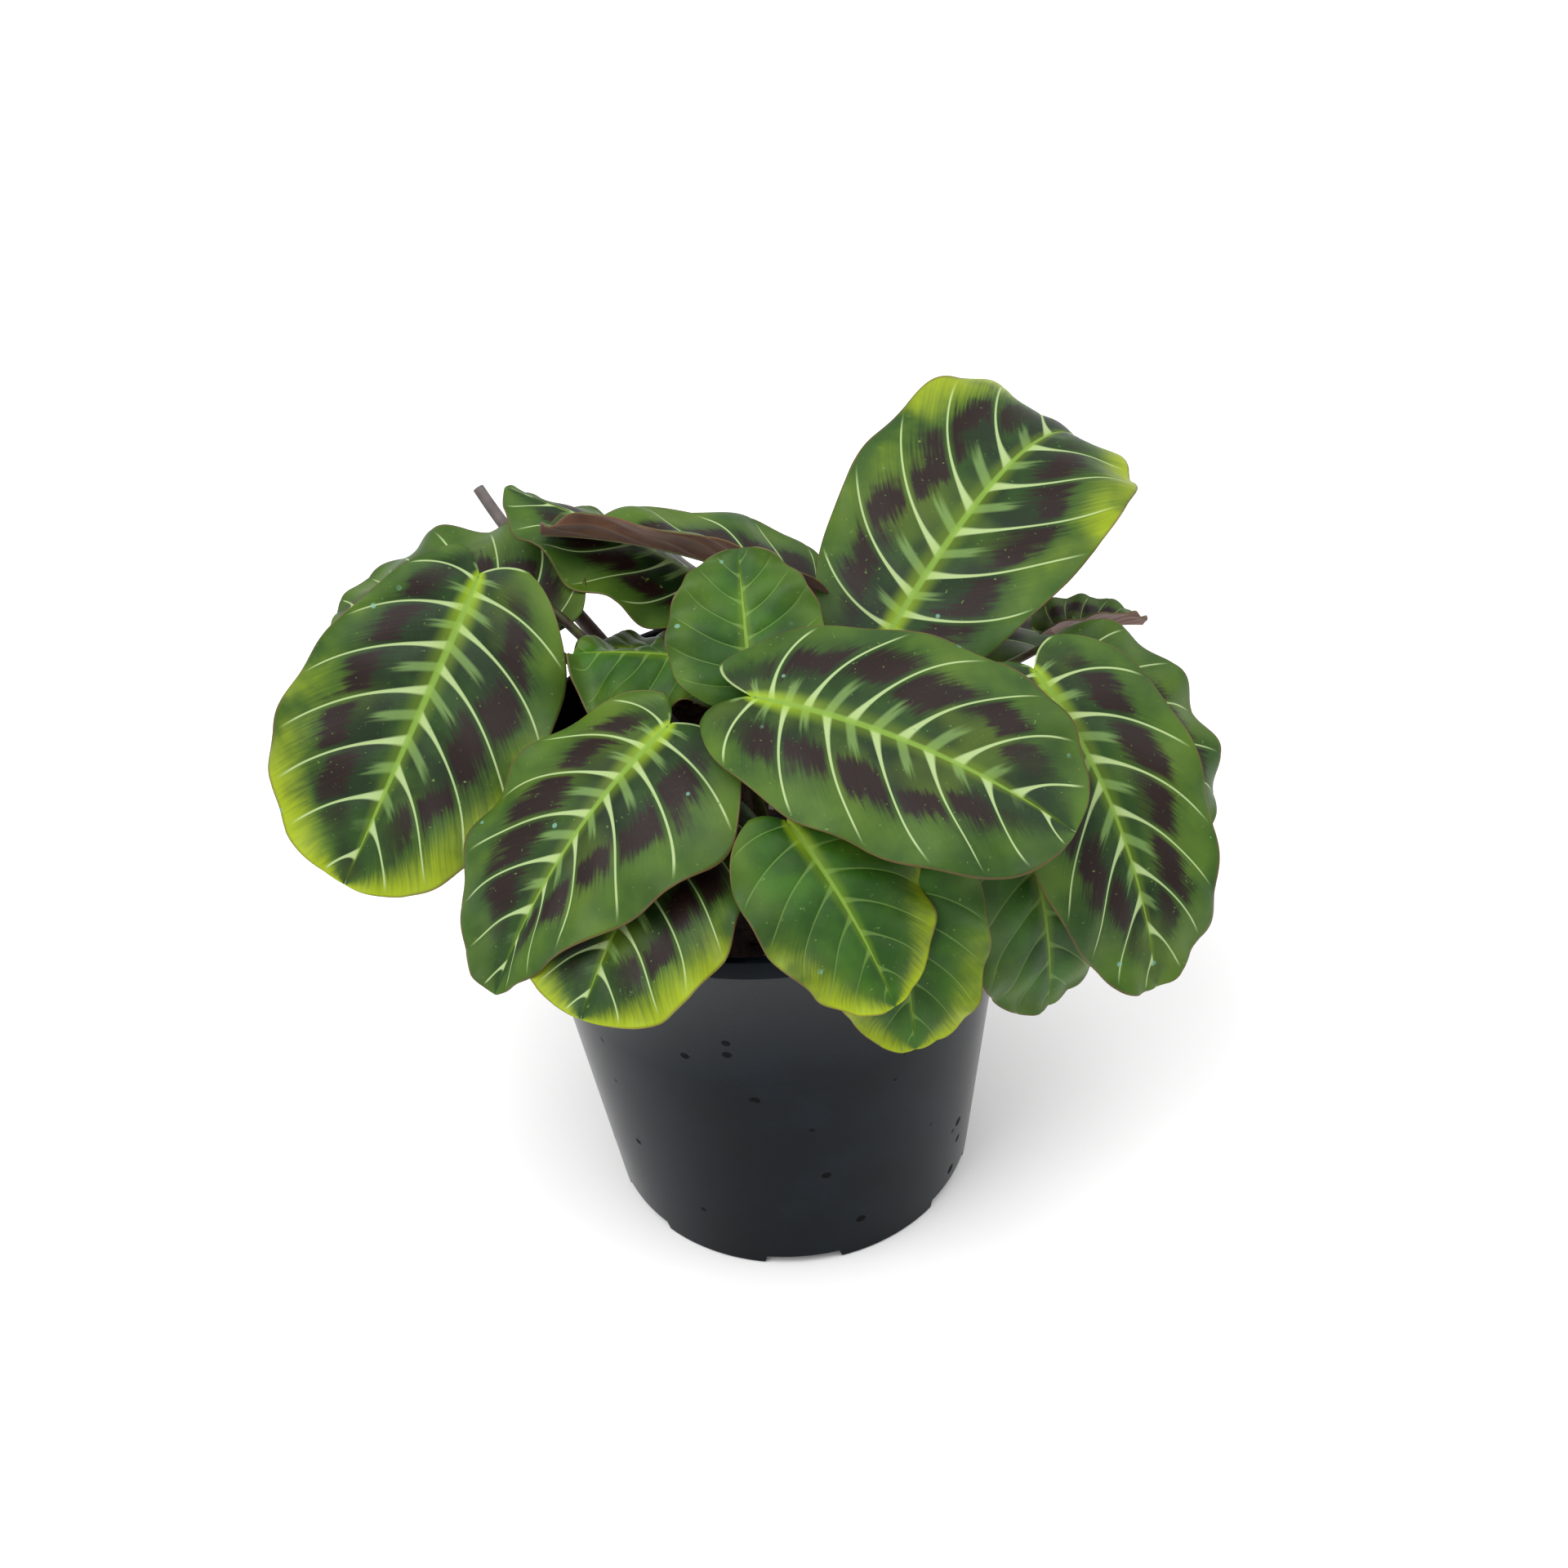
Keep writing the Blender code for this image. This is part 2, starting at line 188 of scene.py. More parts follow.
def mask(tree, strength, *steps):
    """Strength times smooth steps: each has a value, where it is 0 and where 1."""
    for value, none, full in steps:
        step = add_node(tree, "MapRange", (value, none, full),
                        interpolation_type="SMOOTHSTEP")
        strength = add_node(tree, "Math", (strength, step), operation="MULTIPLY")
    return strength


def paint(tree, colour, *coats):
    """Lays coats over a colour in turn: each has a mask and a colour."""
    for amount, coat in coats:
        colour = add_node(tree, "Mix", (amount, colour, coat), data_type="RGBA")
    return colour


def new_material(name):
    made = bpy.data.materials.new(name)
    made.use_nodes = True
    return made, made.node_tree, made.node_tree.nodes["Principled BSDF"]


def object_place(tree):
    return add_node(tree, "TexCoord").node.outputs["Object"]


def noise_scale(size):
    """The scale of a pattern on Object coordinates whose patches are size mm wide."""
    return 1 / (size * MM)


def vein_coordinates(tree):
    """Outwards 0..1, down the blade 0..1, the count of veins so far, and the half."""
    x = add_node(tree, "SeparateXYZ", (add_node(tree, "UVMap", uv_map="UVMap"),))
    down = x.node.outputs["Y"]
    across = add_node(tree, "Math", (x, 2.0, -1.0), operation="MULTIPLY_ADD")
    out = add_node(tree, "Math", (across,), operation="ABSOLUTE")
    side = add_node(tree, "Math", (across, 0.0), operation="GREATER_THAN")
    half_vein = add_node(tree, "Math", (side, 0.5), operation="MULTIPLY")
    count = add_node(tree, "Math", (down, float(VEINS), half_vein),
                     operation="MULTIPLY_ADD")
    return out, down, count, side


def vein_distance(tree, count):
    """From the middle between two veins, 0..0.5, and from the nearest vein."""
    cell = add_node(tree, "Math", (count,), operation="FRACT")
    off_centre = add_node(tree, "Math", (cell, 0.5), operation="SUBTRACT")
    middle = add_node(tree, "Math", (off_centre,), operation="ABSOLUTE")
    return middle, add_node(tree, "Math", (0.5, middle), operation="SUBTRACT")


def leaf_patterns(tree):
    """The coordinates and noises that a blade's colours are drawn from."""
    out, down, count, side = vein_coordinates(tree)
    middle, near = vein_distance(tree, count)
    place = object_place(tree)
    along_veins = [add_node(tree, "Math", (value, often), operation="MULTIPLY")
                   for value, often in ((count, 16.0), (out, 3.0), (side, 9.0))]
    hatch = add_node(tree, "CombineXYZ", tuple(along_veins))
    streak = add_node(tree, "TexNoise", {"Vector": hatch, "Scale": 1.0, "Detail": 3.0})
    ragged = add_node(tree, "Math", (streak, 0.3, -0.15), operation="MULTIPLY_ADD")
    which = add_node(tree, "Math", (count,), operation="FLOOR")
    cell = add_node(tree, "CombineXYZ", (which, side))
    return LeafPattern(
        out=out, down=down, middle=middle, near=near, streak=streak,
        reach=add_node(tree, "Math", (out, ragged), operation="ADD"),
        luck=add_node(tree, "TexWhiteNoise", {"Vector": cell}),
        broad=add_node(tree, "TexNoise", {
            "Vector": place, "Scale": noise_scale(BROAD_PATCH), "Detail": 3.0}),
        wash=add_node(tree, "TexNoise", {
            "Vector": place, "Scale": noise_scale(WASH_PATCH), "Detail": 2.0}),
        speck=add_node(tree, "TexNoise", {
            "Vector": place, "Scale": noise_scale(SPECK), "Detail": 4.0}),
        spots=add_node(tree, "TexVoronoi", {
            "Vector": place, "Scale": noise_scale(WATER_SPOT_GAP)}),
    )


def leaf_flesh(tree, leaf, marked, lime):
    """Green flesh, deepest by the midrib, washed lighter and darker in patches."""
    dark, light = ("#0d2006", "#1f3b0d") if marked else ("#1d4009", "#30580f")
    inner = paint(tree, dark, (mask(tree, 1.0, (leaf.broad, 0.35, 0.65)), light))
    outer = paint(tree, "#264411",
                  (mask(tree, 1.0, (leaf.broad, 0.3, 0.7)), "#425e18"))
    flesh = paint(tree, inner,
                  (mask(tree, 1.0, (leaf.reach, 0.35, 0.85)), outer),
                  (mask(tree, 0.45, (leaf.wash, 0.5, 0.72)), "#566e18"),
                  (mask(tree, 0.5, (leaf.wash, 0.5, 0.3)), "#122a0a"))
    if not lime:
        return flesh
    tipwards = add_node(tree, "Math", (leaf.down, leaf.broad), operation="ADD")
    edge = mask(tree, 1.0, (leaf.reach, 0.62, 1.06), (tipwards, 0.75, 1.25))
    return paint(tree, flesh, (edge, "#8c9d10"))


def leaf_blotches(tree, leaf, colour):
    """Maroon blotches between the veins, and pale feathers beside the midrib."""
    by_luck = add_node(tree, "Math", (leaf.luck, 0.16, -0.08), operation="MULTIPLY_ADD")
    by_patch = add_node(tree, "Math", (leaf.broad, 0.5, -0.25), operation="MULTIPLY_ADD")
    shift = add_node(tree, "Math", (by_luck, by_patch), operation="ADD")
    at = add_node(tree, "Math", (leaf.reach, shift), operation="ADD")
    blotch = mask(tree, 1.0, (at, 0.24, 0.36), (at, 0.68, 0.52), (leaf.near, 0.05, 0.15),
                  (leaf.down, 0.04, 0.16), (leaf.down, 0.9, 0.72))
    maroon = paint(tree, "#0b0504", (leaf.streak, "#22100a"))
    uneven = add_node(tree, "Math", (leaf.luck, 0.16, leaf.reach),
                      operation="MULTIPLY_ADD")
    feather = mask(tree, 0.6, (leaf.middle, 0.13, 0.06), (uneven, 0.36, 0.22),
                   (leaf.down, 0.9, 0.75))
    return paint(tree, colour, (blotch, maroon), (feather, "#6f8e4e"))


def leaf_veins(tree, leaf, colour, marked):
    """Veins that thin outwards, a lime glow by the stalk, the midrib and the rim."""
    inwards = add_node(tree, "Math", (1.0, leaf.out), operation="SUBTRACT")
    taper = add_node(tree, "Math", (inwards, 6.0), operation="POWER")
    breadth = add_node(tree, "Math", (taper, 0.1, 0.024), operation="MULTIPLY_ADD")
    over = add_node(tree, "Math", (leaf.near, breadth), operation="DIVIDE")
    vein = mask(tree, 0.85 if marked else 0.4, (over, 1.25, 0.55), (leaf.out, 0.97, 0.8))
    by_stalk = mask(tree, 0.75, (leaf.down, 0.45, 0.0))
    glow = add_node(tree, "Math", (by_stalk, 0.2), operation="ADD")
    return paint(tree, colour,
                 (vein, "#a0b57c" if marked else "#6f8e44"),
                 (mask(tree, glow, (leaf.out, 0.13, 0.02)), "#86a31a"),
                 (mask(tree, 0.85, (leaf.out, 0.032, 0.012)), "#6f8f32"),
                 (mask(tree, 0.6, (leaf.out, 0.975, 1.0)), "#6b4a34"))


def blade_material(name, marked, lime):
    """Living leaf: a waxy cuticle over green flesh, dull satin with a faint sheen.

    Pale sunk veins leave the midrib and bend to the tip. The specks are pores and
    dust, and the blue-green spots are where water has dried.
    """
    made, tree, shader = new_material(name)
    leaf = leaf_patterns(tree)
    colour = leaf_flesh(tree, leaf, marked, lime)
    if marked:
        colour = leaf_blotches(tree, leaf, colour)
    colour = leaf_veins(tree, leaf, colour, marked)
    dried = mask(tree, 0.7, (leaf.spots, 0.075, 0.05), (leaf.broad, 0.5, 0.56))
    colour = paint(tree, colour,
                   (mask(tree, 1.0, (leaf.speck, 0.66, 0.78)), "#5f7a3c"),
                   (dried, "#6d9a86"))
    gloss = add_node(tree, "MapRange",
                     {"Value": leaf.speck, "To Min": 0.4, "To Max": 0.56})
    fine = add_node(tree, "Math", (leaf.speck, 0.4), operation="MULTIPLY")
    height = add_node(tree, "Math", (leaf.streak, 0.6, fine), operation="MULTIPLY_ADD")
    bump = add_node(tree, "Bump",
                    {"Height": height, "Strength": 0.25, "Distance": 0.3 * MM})
    tree.links.new(colour, shader.inputs["Base Color"])
    tree.links.new(gloss, shader.inputs["Roughness"])
    tree.links.new(bump, shader.inputs["Normal"])
    shader.inputs["IOR"].default_value = 1.36
    shader.inputs["Specular IOR Level"].default_value = 0.35
    return made


def underside_material():
    """The leaf's back: red-brown flesh, dry and duller than the top, veins paler."""
    made, tree, shader = new_material("leaf_underside")
    out, _, count, _ = vein_coordinates(tree)
    _, near = vein_distance(tree, count)
    patch = add_node(tree, "TexNoise", {
        "Vector": object_place(tree), "Scale": noise_scale(UNDERSIDE_PATCH),
        "Detail": 4.0})
    colour = paint(tree, "#5e3324",
                   (mask(tree, 1.0, (patch, 0.3, 0.7)), "#724a33"),
                   (mask(tree, 0.5, (near, 0.06, 0.02)), "#8c6448"),
                   (mask(tree, 1.0, (out, 0.05, 0.02)), "#7f7c44"))
    tree.links.new(colour, shader.inputs["Base Color"])
    shader.inputs["Roughness"].default_value = 0.6
    shader.inputs["Sheen Weight"].default_value = 0.15
    return made


def stalk_material():
    """Herbaceous stalk: smooth skin, olive green flushed red-brown."""
    made, tree, shader = new_material("herbaceous_stalk")
    flush = add_node(tree, "TexNoise", {
        "Vector": object_place(tree), "Scale": noise_scale(STALK_FLUSH), "Detail": 4.0})
    colour = paint(tree, "#3a2c22", (mask(tree, 1.0, (flush, 0.35, 0.65)), "#4f5a2c"))
    tree.links.new(colour, shader.inputs["Base Color"])
    shader.inputs["Roughness"].default_value = 0.5
    return made


def stem_material():
    """Older stem: dry grey-purple skin, mottled."""
    made, tree, shader = new_material("stem_skin")
    mottle = add_node(tree, "TexNoise", {
        "Vector": object_place(tree), "Scale": noise_scale(STEM_MOTTLE), "Detail": 4.0})
    colour = paint(tree, "#3a3236", (mottle, "#6a635e"))
    tree.links.new(colour, shader.inputs["Base Color"])
    shader.inputs["Roughness"].default_value = 0.7
    return made


def pot_material():
    """Injection-moulded polypropylene: charcoal, smooth satin, with dull dark flecks."""
    made, tree, shader = new_material("moulded_polypropylene")
    place = object_place(tree)
    grain = add_node(tree, "TexNoise", {
        "Vector": place, "Scale": noise_scale(POT_GRAIN), "Detail": 3.0})
    cloud = add_node(tree, "TexNoise", {
        "Vector": place, "Scale": noise_scale(POT_CLOUD), "Detail": 5.0})
    spots = add_node(tree, "TexVoronoi", {
        "Vector": place, "Scale": noise_scale(POT_FLECK_GAP)})
    fleck = mask(tree, 1.0, (spots, 0.13, 0.09), (cloud, 0.46, 0.5))
    colour = paint(tree, "#04090e",
                   (mask(tree, 1.0, (cloud, 0.35, 0.7)), "#0a1219"), (fleck, "#000102"))
    gloss = add_node(tree, "MapRange", {"Value": cloud, "To Min": 0.17, "To Max": 0.26})
    roughness = add_node(tree, "Math", (fleck, 0.45, gloss), operation="MULTIPLY_ADD")
    bump = add_node(tree, "Bump",
                    {"Height": grain, "Strength": 0.12, "Distance": 0.1 * MM})
    tree.links.new(colour, shader.inputs["Base Color"])
    tree.links.new(roughness, shader.inputs["Roughness"])
    tree.links.new(bump, shader.inputs["Normal"])
    shader.inputs["IOR"].default_value = 1.4
    shader.inputs["Specular IOR Level"].default_value = 0.08
    return made


def soil_material(name, dark, light):
    """Peat, bark or perlite crumbs: rough, crumbly and quite matt."""
    made, tree, shader = new_material(name)
    crumb = add_node(tree, "TexNoise", {
        "Vector": object_place(tree), "Scale": noise_scale(SOIL_CRUMB), "Detail": 6.0})
    colour = paint(tree, dark, (mask(tree, 1.0, (crumb, 0.35, 0.7)), light))
    bump = add_node(tree, "Bump",
                    {"Height": crumb, "Strength": 0.8, "Distance": 1.0 * MM})
    tree.links.new(colour, shader.inputs["Base Color"])
    tree.links.new(bump, shader.inputs["Normal"])
    shader.inputs["Roughness"].default_value = 0.95
    return made


def pair(value):
    return value if isinstance(value, tuple) else (value, value)


def by_side(value, across):
    left, right = pair(value)
    return np.where(across < 0, left, right)


def blade_flat(leaf, row, across):
    """Flat (along, outwards) position, over the length, at vein line row 0..1.

    A vein line starts on the midrib, leaves it at about fifty degrees and bends
    towards the tip; across runs from the left margin at -1 to the right at 1.
    """
    lobe = leaf.lobe / leaf.length
    turn = TOP_VEIN + (pi - TOP_VEIN) * row**0.7
    edge_a = -lobe + (1 + lobe) * (cos(TOP_VEIN) - np.cos(turn)) / (1 + cos(TOP_VEIN))
    shape = np.maximum(np.sin(turn), 0) ** leaf.blunt
    edge_b = 0.5 * leaf.width / leaf.length * shape
    edge_b = edge_b * (1 + by_side(leaf.skew, across) * np.cos(turn))
    edge_b = edge_b * (1 - 0.4 * np.clip((row - 0.8) / 0.2, 0, 1) ** 1.3)
    start = row**1.45
    back = (1 - row) ** 8
    mid_a = (start + 0.3 * (edge_a - start)) * (1 - back) - lobe * back
    mid_b = edge_b * (0.62 - 0.2 * back)
    t = np.abs(across)
    along = (1 - t) ** 2 * start + 2 * t * (1 - t) * mid_a + t * t * edge_a
    return along, 2 * t * (1 - t) * mid_b + t * t * edge_b


def midrib_turns(leaf, along):
    heading = np.radians(leaf.heading + leaf.sweep * along)
    pitch = np.radians(leaf.pitch - leaf.droop * along - leaf.tipcurl * along**4)
    ahead = np.stack([np.cos(pitch) * np.cos(heading),
                      np.cos(pitch) * np.sin(heading), np.sin(pitch)], -1)
    level = np.stack([np.sin(heading), -np.cos(heading), 0 * heading], -1)
    return ahead, level


def midrib_frame(leaf, along):
    """Position on the midrib curve, and its sideways and upward directions."""
    grid = np.linspace(0, 1, 61)
    ahead, _ = midrib_turns(leaf, grid)
    steps = (ahead[1:] + ahead[:-1]) / 2 * leaf.length / 60
    path = np.vstack([[0, 0, 0], np.cumsum(steps, 0)]) + np.array(leaf.base)
    held = np.clip(along, 0, 1)
    place = np.stack([np.interp(held, grid, path[:, i]) for i in range(3)], -1)
    ahead, level = midrib_turns(leaf, held)
    place = place + ahead * ((along - held) * leaf.length)[..., None]
    lift = np.cross(level, ahead)
    roll = np.radians(leaf.roll + leaf.twist * held)[..., None]
    side = np.cos(roll) * level + np.sin(roll) * lift
    return place, side, np.cos(roll) * lift - np.sin(roll) * level


def blade_points(leaf, row, across):
    """Points of the blade's middle surface in mm, pleated between its veins."""
    along, out = blade_flat(leaf, row, across)
    place, side, up = midrib_frame(leaf, along)
    half = leaf.width / 2
    x = out * leaf.length / half
    fold = np.radians(by_side(leaf.fold, across))
    curl = np.radians(by_side(leaf.curl, across))
    curl = np.where(np.abs(curl) < 0.001, 0.001, curl)
    sideways = half * (np.sin(fold + curl * x) - np.sin(fold)) / curl * np.sign(across)
    upwards = half * (np.cos(fold) - np.cos(fold + curl * x)) / curl
    ripple = np.sin(2 * pi * leaf.waves * along + radians(leaf.phase)
                    + np.where(across < 0, 0, 1.3))
    t = np.abs(across)
    off_rib = np.clip(4 * x, 0, 1)
    upwards = upwards + leaf.wave * t**2 * ripple * off_rib
    count = row * VEINS + np.where(across > 0, 0.5, 0.0)
    own = len(leaf.name)
    scallop = SCALLOP * np.sin(2 * pi * 0.8 * count + own) * t**6 * off_rib
    sideways = sideways + scallop * np.sign(across)
    ruffle = np.sin(2 * pi * (0.63 * count + 0.13 * own))
    ruffle = ruffle + 0.6 * np.sin(2 * pi * (1.1 * row + 0.21 * own))
    upwards = upwards + RUFFLE * leaf.length / 80 * ruffle * t**3 * off_rib
    pleat = PLEAT * (np.abs(np.sin(pi * count)) ** 0.7 - 0.5)
    fade = np.clip(6 * t, 0, 1) * (1 - 0.6 * t) * np.clip(6 * x, 0, 1)
    rib = RIB_DEPTH * np.exp(-(t / 0.035) ** 2) * (1 - 0.6 * row)
    upwards = upwards + pleat * fade - rib
    return place + side * sideways[..., None] + up * upwards[..., None]


def active():
    return bpy.context.active_object


def finish_piece(piece, name, body_slot, *stands_for):
    piece.name = name
    piece.data.name = name
    bpy.ops.object.select_all(action="DESELECT")
    piece.select_set(True)
    bpy.context.view_layer.objects.active = piece
    bpy.ops.object.transform_apply(location=True, rotation=True, scale=True)
    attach(piece, "root")
    if stands_for:
        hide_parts(*stands_for)
    piece.select_set(False)
    return piece


def apply_modifier(piece, name, kind, **settings):
    step = piece.modifiers.new(name, kind)
    for key, value in settings.items():
        setattr(step, key, value)
    bpy.context.view_layer.objects.active = piece
    bpy.ops.object.modifier_apply(modifier=name)


def build_blade(leaf, top, under):
    """A flat grid laid on the blade's curved surface; its UV map holds the veins."""
    bpy.ops.mesh.primitive_grid_add(x_subdivisions=BLADE_COLUMNS,
                                    y_subdivisions=BLADE_ROWS, size=2)
    piece = active()
    flat = np.empty(len(piece.data.vertices) * 3)
    piece.data.vertices.foreach_get("co", flat)
    flat = flat.reshape(-1, 3)
    row = 0.999 * (np.clip(flat[:, 1], -1, 1) + 1) / 2
    placed = blade_points(leaf, row, np.clip(flat[:, 0], -1, 1)) * MM
    piece.data.vertices.foreach_set("co", placed.ravel())
    piece.data.update()
    piece.data.materials.append(top)
    piece.data.materials.append(under)
    apply_modifier(piece, "blade", "SOLIDIFY", thickness=BLADE_THICK * MM, offset=0,
                   material_offset=1, material_offset_rim=0)
    bpy.ops.object.shade_smooth()
    return finish_piece(piece, "blade_" + leaf.name[5:], slot_of(leaf), leaf.name)


def slot_of(leaf):
    return "leaf_plain" if leaf.name in PLAIN else "leaf_marked"


def soil_height(x, y):
    radii, heights = zip(*SOIL_DOME)
    return float(np.interp(hypot(x, y), radii, heights))


def build_stalk(name, points, radii, coat, body_slot, *stands_for):
    """A bezier curve with a round section, its radius running from the foot's to the
    end's.
    """
    start, rise, into, end = (Vector(p) * MM for p in points)
    bpy.ops.curve.primitive_bezier_curve_add(radius=0.02)
    curve = active()
    spline = curve.data.splines[0]
    spline.resolution_u = 28
    first, last = spline.bezier_points
    for point in (first, last):
        point.handle_left_type = point.handle_right_type = "FREE"
    first.co, first.handle_right = start, rise
    first.handle_left = start - (rise - start) * 0.2
    last.co, last.handle_left = end, into
    last.handle_right = end + (end - into) * 0.2
    first.radius, last.radius = radii
    curve.data.dimensions = "3D"
    curve.data.bevel_depth = MM
    curve.data.bevel_resolution = 4
    curve.data.use_fill_caps = True
    bpy.ops.object.convert(target="MESH")
    piece = active()
    piece.data.materials.clear()
    piece.data.materials.append(coat)
    bpy.ops.object.shade_smooth()
    return finish_piece(piece, name, body_slot, *stands_for)


def leaf_stalk(leaf, coat):
    ahead, _ = midrib_turns(leaf, np.array(0.0))
    _, side, up = midrib_frame(leaf, np.array(0.0))
    under = Vector(leaf.base) - Vector(up) * (0.4 + GAP + 1.05) - Vector(ahead) * 0.5
    end = Vector(leaf.base) - Vector(up) * 0.9 + Vector(ahead) * 1.5
    x, y = STALK_FEET[leaf.name]
    start = Vector((x, y, soil_height(x, y) - 1.5))
    foot = Vector((x, y, soil_height(x, y) + GAP))
    reach = (under - foot).length
    lean = Vector((under.x - foot.x, under.y - foot.y, 0)) * 0.12
    rise = foot + Vector((0, 0, reach * 0.35)) + lean
    into = under - (Vector(ahead) * 0.6 + Vector((0, 0, 0.4))) * reach * 0.3
    name = leaf.name.replace("leaf", "petiole")
    build_stalk("stalk_" + leaf.name[5:], (start, rise, into, end), (1.6, 0.95), coat,
                "stalk", name)


def ring_up(radius, rise, last_radius, height):
    """Extrudes the selected ring by rise and scales it to radius."""
    bpy.ops.mesh.extrude_region_move(
        TRANSFORM_OT_translate={"value": (0, 0, rise * MM)})
    scale = radius / last_radius
    bpy.ops.transform.resize(value=(scale, scale, 1),
                             center_override=(0, 0, height * MM))


def pot_radius(z):
    top = RIM_RADIUS - LIP_STEP
    return FOOT_RADIUS + (top - FOOT_RADIUS) * z / (POT_HEIGHT - LIP_HEIGHT)


def build_pot(coat):
    """One ring drawn up the outside, over the lip and down the inside."""
    lip = POT_HEIGHT - LIP_HEIGHT
    profile = [
        (PAD_RADIUS, 0), (PAD_RADIUS, FLOOR_RISE), (FOOT_RADIUS - FOOT_RING, FLOOR_RISE),
        (FOOT_RADIUS - FOOT_RING, 0), (FOOT_RADIUS - 0.5, 0), (FOOT_RADIUS, 0.5),
        (pot_radius(40), 40), (pot_radius(80), 80), (pot_radius(lip - 0.3), lip - 0.3),
        (pot_radius(lip) + 0.2, lip), (RIM_RADIUS - 0.5, lip + 0.05),
        (RIM_RADIUS - 0.1, lip + 0.5), (RIM_RADIUS, POT_HEIGHT - 0.9),
        (RIM_RADIUS - 0.25, POT_HEIGHT - 0.25), (RIM_RADIUS - 0.9, POT_HEIGHT),
        (RIM_RADIUS - 2.0, POT_HEIGHT), (RIM_RADIUS - 2.6, POT_HEIGHT - 0.3),
        (RIM_RADIUS - 2.9, POT_HEIGHT - 1.2), (pot_radius(lip) - WALL, lip),
        (pot_radius(60) - WALL, 60), (pot_radius(FLOOR_TOP) - WALL, FLOOR_TOP),
    ]
    bpy.ops.mesh.primitive_circle_add(vertices=POT_SIDES, radius=PAD_RADIUS * MM,
                                      fill_type="NOTHING")
    piece = active()
    bpy.ops.object.mode_set(mode="EDIT")
    bpy.ops.mesh.select_mode(type="EDGE")
    bpy.ops.mesh.select_all(action="SELECT")
    for (radius, height), (next_radius, next_height) in zip(profile, profile[1:]):
        ring_up(next_radius, next_height - height, radius, next_height)
    bpy.ops.mesh.edge_face_add()
    bpy.ops.mesh.select_all(action="DESELECT")
    bpy.ops.mesh.select_non_manifold()
    bpy.ops.mesh.edge_face_add()
    bpy.ops.mesh.select_all(action="SELECT")
    bpy.ops.mesh.normals_make_consistent(inside=False)
    bpy.ops.object.mode_set(mode="OBJECT")
    for i in range(NOTCHES):
        turn = -pi / 2 + 2 * pi * i / NOTCHES
        bpy.ops.mesh.primitive_cube_add(
            size=1, location=(FOOT_RADIUS * cos(turn) * MM, FOOT_RADIUS * sin(turn) * MM,
                              (NOTCH_HEIGHT - 4) / 2 * MM))
        tool = active()
        tool.rotation_euler = (0, 0, turn)
        tool.scale = (12 * MM, NOTCH_WIDTH * MM, (NOTCH_HEIGHT + 4) * MM)
        slope_notch(tool)
        cut_with(piece, tool)
    for i in range(DRAIN_HOLES):
        turn = 2 * pi * (i + 0.5) / DRAIN_HOLES
        bpy.ops.mesh.primitive_cylinder_add(
            vertices=32, radius=DRAIN_RADIUS * MM, depth=12 * MM,
            location=(DRAIN_CIRCLE * cos(turn) * MM, DRAIN_CIRCLE * sin(turn) * MM,
                      FLOOR_RISE * MM))
        cut_with(piece, active())
    piece.data.materials.clear()
    piece.data.materials.append(coat)
    bpy.context.view_layer.objects.active = piece
    piece.select_set(True)
    bpy.ops.object.shade_smooth_by_angle(angle=radians(35))
    return finish_piece(piece, "nursery_pot", "pot", "pot")


def slope_notch(tool):
    """Draws the notch's top face in, so that its two ends slope."""
    for vertex in tool.data.vertices:
        if vertex.co.z > 0:
            vertex.co.y *= 0.86


def cut_with(piece, tool):
    bpy.ops.object.select_all(action="DESELECT")
    bpy.context.view_layer.objects.active = piece
    apply_modifier(piece, "cut", "BOOLEAN", operation="DIFFERENCE", solver="EXACT",
                   object=tool)
    bpy.data.objects.remove(tool, do_unlink=True)


def build_grains(name, count, size, coat, seed, body_slot):
    """Crumbs of potting mix: one lump, squashed and copied over the soil."""
    dice = random.Random(seed)
    lumps = []
    for _ in range(count):
        r = SOIL_SPREAD * dice.random() ** 0.5
        a = dice.uniform(0, 2 * pi)
        x, y = r * cos(a), r * sin(a)
        bpy.ops.mesh.primitive_ico_sphere_add(
            subdivisions=1, radius=1,
            location=(x * MM, y * MM, (soil_height(x, y) + 0.2) * MM),
            rotation=(dice.uniform(0, 3), dice.uniform(0, 3), dice.uniform(0, 3)))
        lump = active()
        wide = dice.uniform(0.6, 1.0) * size * MM
        lump.scale = (wide, wide * dice.uniform(0.4, 0.9), wide * dice.uniform(0.3, 0.6))
        lumps.append(lump)
    bpy.ops.object.select_all(action="DESELECT")
    for lump in lumps:
        lump.select_set(True)
    bpy.context.view_layer.objects.active = lumps[0]
    bpy.ops.object.join()
    piece = active()
    piece.data.materials.append(coat)
    return finish_piece(piece, name, body_slot)


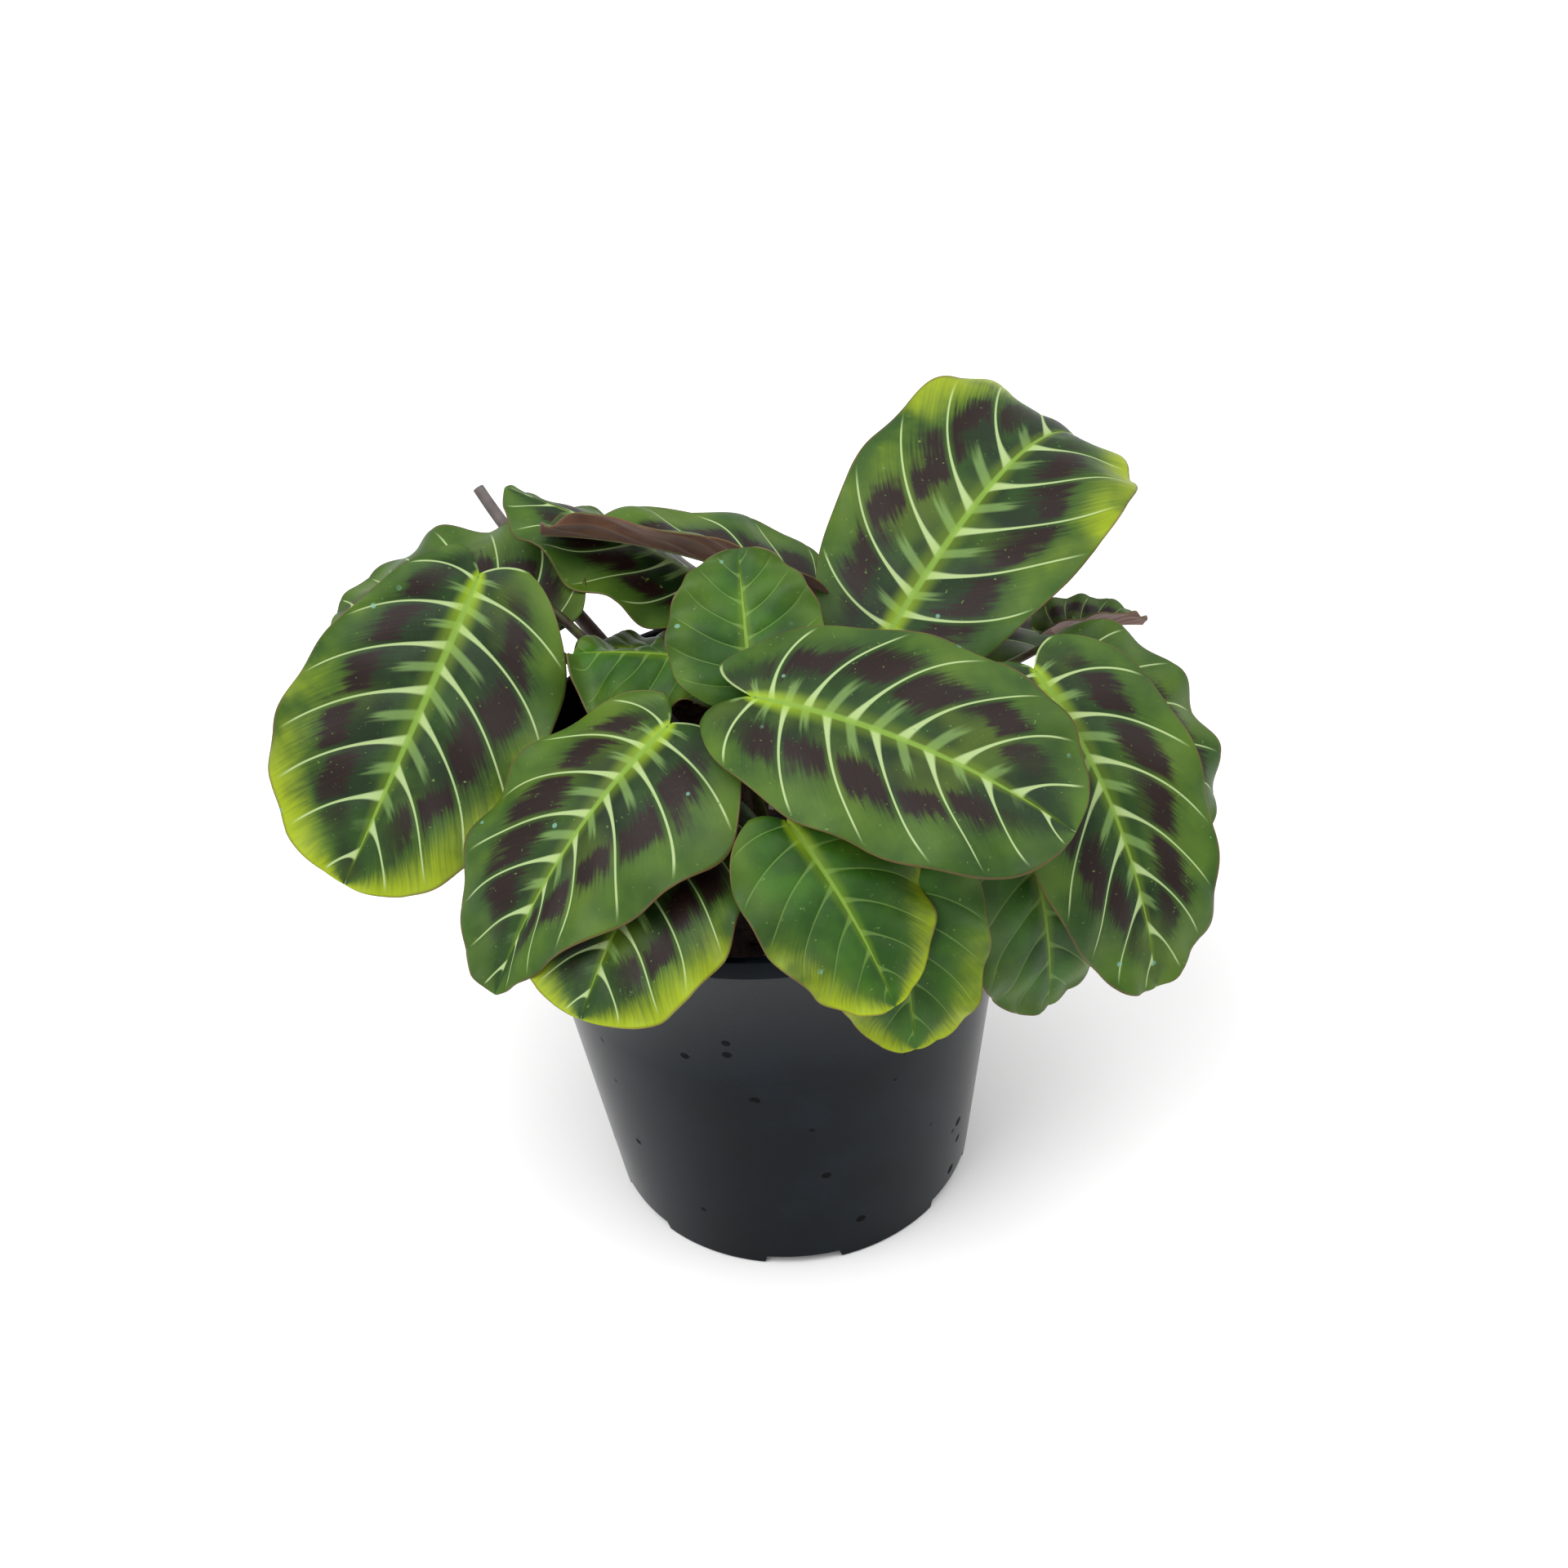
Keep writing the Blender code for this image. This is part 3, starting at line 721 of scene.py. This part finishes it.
def build_stage():
    """A white floor and soft light from all round, brighter from above."""
    bpy.ops.mesh.primitive_plane_add(size=8)
    floor = active()
    floor.name = "floor"
    made, _, shader = new_material("white_floor")
    shader.inputs["Base Color"].default_value = linear("#fdfdfd")
    shader.inputs["Roughness"].default_value = 0.9
    floor.data.materials.append(made)
    world = bpy.data.worlds.new("soft_room")
    bpy.context.scene.world = world
    world.use_nodes = True
    tree = world.node_tree
    sky = tree.nodes["Background"]
    sky.inputs["Color"].default_value = linear("#ffffff")
    sky.inputs["Strength"].default_value = 0.78
    white = add_node(tree, "Background", {"Color": "#ffffff", "Strength": 1.0})
    rays = add_node(tree, "LightPath").node.outputs
    seen = add_node(tree, "Math", (rays["Is Camera Ray"], rays["Is Glossy Ray"]),
                    operation="ADD")
    seen = add_node(tree, "Math", (seen, rays["Is Transmission Ray"]), operation="ADD")
    mix = add_node(tree, "MixShader", (seen, sky.outputs[0], white))
    tree.links.new(mix, tree.nodes["World Output"].inputs["Surface"])
    for name, place, size, power in (("over_left", (-0.6, -0.4, 1.4), 1.3, 20),
                                     ("over_right", (0.8, 0.1, 1.3), 1.5, 11)):
        bpy.ops.object.light_add(type="AREA", location=place)
        lamp = active()
        lamp.name = name
        lamp.data.size = size
        lamp.data.energy = power
        aim = Vector((0, 0, 0.12)) - Vector(place)
        lamp.rotation_euler = aim.to_track_quat("-Z", "Y").to_euler()


def build_camera():
    """Looks down on the plant's front from a little above its leaves."""
    climb, tilt = radians(42.6), radians(-4.7)
    distance, aim = 0.9844, Vector((0.005, 0, 0.1268))
    back = Vector((0, -cos(climb), sin(climb)))
    across = Vector((1, 0, 0))
    upright = back.cross(across)
    right = cos(tilt) * across + sin(tilt) * upright
    up = -sin(tilt) * across + cos(tilt) * upright
    bpy.ops.object.camera_add()
    camera = active()
    camera.data.lens = 91.24
    camera.data.sensor_width = 36
    turn = Matrix((right, up, back)).transposed().to_4x4()
    camera.matrix_world = Matrix.Translation(aim + back * distance) @ turn
    bpy.context.scene.camera = camera
    bpy.context.scene.view_settings.view_transform = "Standard"


def coat_node(name, coat):
    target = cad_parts[name]
    target.data.materials.clear()
    target.data.materials.append(coat)


def build_plant():
    marked = blade_material("leaf_marked_top", True, False)
    marked_lime = blade_material("leaf_marked_lime_top", True, True)
    plain = blade_material("leaf_plain_top", False, False)
    plain_lime = blade_material("leaf_plain_lime_top", False, True)
    under = underside_material()
    stalk = stalk_material()
    for leaf in LEAVES:
        lime = leaf.name in LIME_EDGED
        if leaf.name in PLAIN:
            top = plain_lime if lime else plain
        else:
            top = marked_lime if lime else marked
        build_blade(leaf, top, under)
        leaf_stalk(leaf, stalk)
    (x, y), end = CUT_STEM
    start = Vector((x, y, soil_height(x, y) + GAP))
    end = Vector(end)
    build_stalk("cut_stem", (start, start + Vector((-8, 10, 16)),
                             end - Vector((-15, 22, 17)), end), (2.3, 1.5),
                stem_material(), "stem", "stem_cut")


build_plant()
build_pot(pot_material())
coat_node("soil", soil_material("peat", "#17110d", "#3a2c20"))
build_grains("bark_crumbs", 170, 2.6, soil_material("bark", "#2a1e15", "#5a4432"),
             11, "soil")
build_grains("perlite_crumbs", 26, 1.5, soil_material("perlite", "#b9b5a8", "#e0ddd2"),
             5, "soil")
build_stage()
build_camera()
